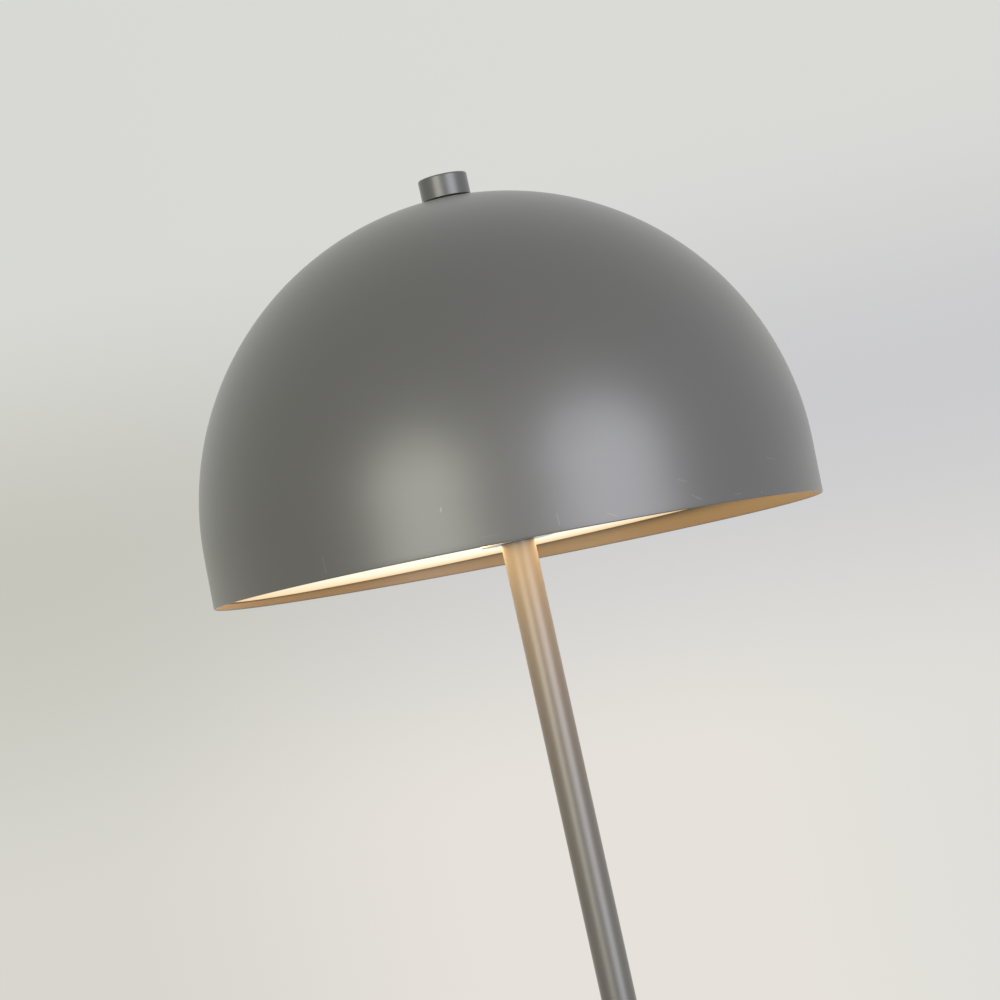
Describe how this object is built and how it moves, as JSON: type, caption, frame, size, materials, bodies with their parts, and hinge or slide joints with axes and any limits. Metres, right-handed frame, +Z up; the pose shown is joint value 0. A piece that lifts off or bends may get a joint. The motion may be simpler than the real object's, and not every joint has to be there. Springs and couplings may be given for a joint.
{
  "type": "floor lamp",
  "caption": "Mushroom floor lamp: a grey domed shade, closed from below by an opal disc, on a slim round pole with a round weighted foot.",
  "frame": {"origin": "on the floor, on the pole's axis at the middle of the foot", "axes": "+Z up the pole; +Y towards the back, where the mains lead enters the foot; +X to the right of someone who faces the lamp"},
  "size_m": [0.3607, 0.36, 1.5],
  "materials": {
    "grey_lacquer": "satin lacquer",
    "grey_lacquer_knob": "glossier satin lacquer",
    "dark_rubber": "matt",
    "foam": "matt foam",
    "zinc_steel": "zinc plated",
    "raw_iron": "as cast",
    "plug_aluminium": "turned",
    "lead_jacket": "matt",
    "core_jacket": "matt",
    "opal": "satin opal",
    "white_plastic": "matt",
    "black_plastic": "matt",
    "contact_brass": "plain",
    "cap_aluminium": "rolled",
    "board_white": "white coated"
  },
  "bodies": {
    "column": {"base_pad": "foam", "base_plate": "zinc_steel", "plate_screws": "zinc_steel", "base_ballast": "raw_iron", "base_cover": "grey_lacquer", "cable_gland": "black_plastic", "base_nipple": "zinc_steel", "base_washer": "zinc_steel", "base_nut": "zinc_steel", "foot_insert": "plug_aluminium", "pole_lower": "grey_lacquer", "lower_spigot": "plug_aluminium", "lower_socket": "plug_aluminium", "pole_middle": "grey_lacquer", "upper_spigot": "plug_aluminium", "upper_socket": "plug_aluminium", "pole_upper": "grey_lacquer", "top_insert": "plug_aluminium", "inner_lead": "lead_jacket", "lead_cores": "core_jacket", "top_nipple": "zinc_steel", "diffuser_seat": "grey_lacquer", "diffuser": "opal", "diffuser_gasket": "dark_rubber", "saddle": "zinc_steel", "nipple_nut": "zinc_steel", "yoke": "zinc_steel", "yoke_screws": "zinc_steel", "yoke_nuts": "zinc_steel", "crown_bolt": "zinc_steel", "crown_seat": "plug_aluminium", "lampholder_base": "black_plastic", "terminal_block": "white_plastic", "terminal_screws": "contact_brass", "lampholder_body": "black_plastic", "lampholder_shell": "contact_brass", "lampholder_contact": "contact_brass"},
    "bulb": {"bulb_contact": "zinc_steel", "bulb_insulator": "black_plastic", "bulb_cap": "cap_aluminium", "bulb_collar": "white_plastic", "bulb_board": "board_white", "bulb_globe": "opal"},
    "crown": {"crown_washer": "dark_rubber"},
    "dome": {"shade": "grey_lacquer"},
    "spring": {"knob_washer": "zinc_steel"},
    "knob": {"knob": "grey_lacquer_knob"}
  },
  "joints": [
    {"name": "shade_lift", "type": "slide", "parent": "column", "child": "crown", "axis": [0, 0, 1], "range_m": [0, 0.22]},
    {"name": "shade_lean", "type": "hinge", "parent": "crown", "child": "dome", "pos_m": [0, 0, 1.3062], "axis": [0, 1, 0], "range_deg": [-1.48, 0.25]},
    {"name": "knob_rise", "type": "slide", "parent": "crown", "child": "spring", "axis": [0, 0, 1], "range_m": [0, 0.009]},
    {"name": "knob_turn", "type": "hinge", "parent": "spring", "child": "knob", "pos_m": [0.0027, 0, 1.4934], "axis": [0, 0, 1], "range_deg": [0, 3240.5]},
    {"name": "bulb_out", "type": "slide", "parent": "column", "child": "bulb", "axis": [0, 0, 1], "range_m": [0, 0.026]}
  ],
  "couplings": [
    {"joint": "knob_turn", "follows": "knob_rise", "rad_per_m": 6283.2}
  ]
}
